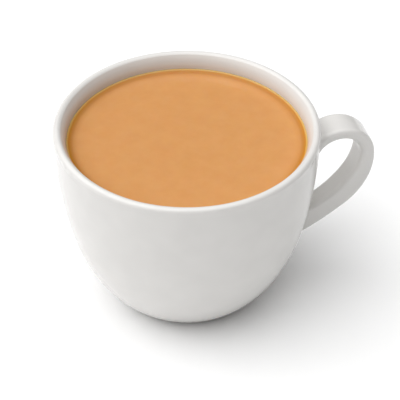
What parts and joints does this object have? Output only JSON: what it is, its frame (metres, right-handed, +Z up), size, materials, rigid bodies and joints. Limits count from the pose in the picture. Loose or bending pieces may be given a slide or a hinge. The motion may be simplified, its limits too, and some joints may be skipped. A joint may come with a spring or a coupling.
{
  "type": "cup of tea with milk",
  "caption": "Thick-walled glazed porcelain cup with a strap handle, filled almost to the lip with milky tea.",
  "frame": {"origin": "centre of the foot ring, in the plane that the cup stands on", "axes": "+Z up along the bowl's axis, +X from the bowl's axis towards the handle"},
  "size_m": [0.1194, 0.096, 0.073],
  "materials": {
    "porcelain": "clear gloss glaze over white porcelain, unglazed foot ring",
    "milky_tea": "still, opaque liquid surface"
  },
  "bodies": {
    "root": {"cup": "porcelain", "tea": "milky_tea"}
  },
  "joints": []
}
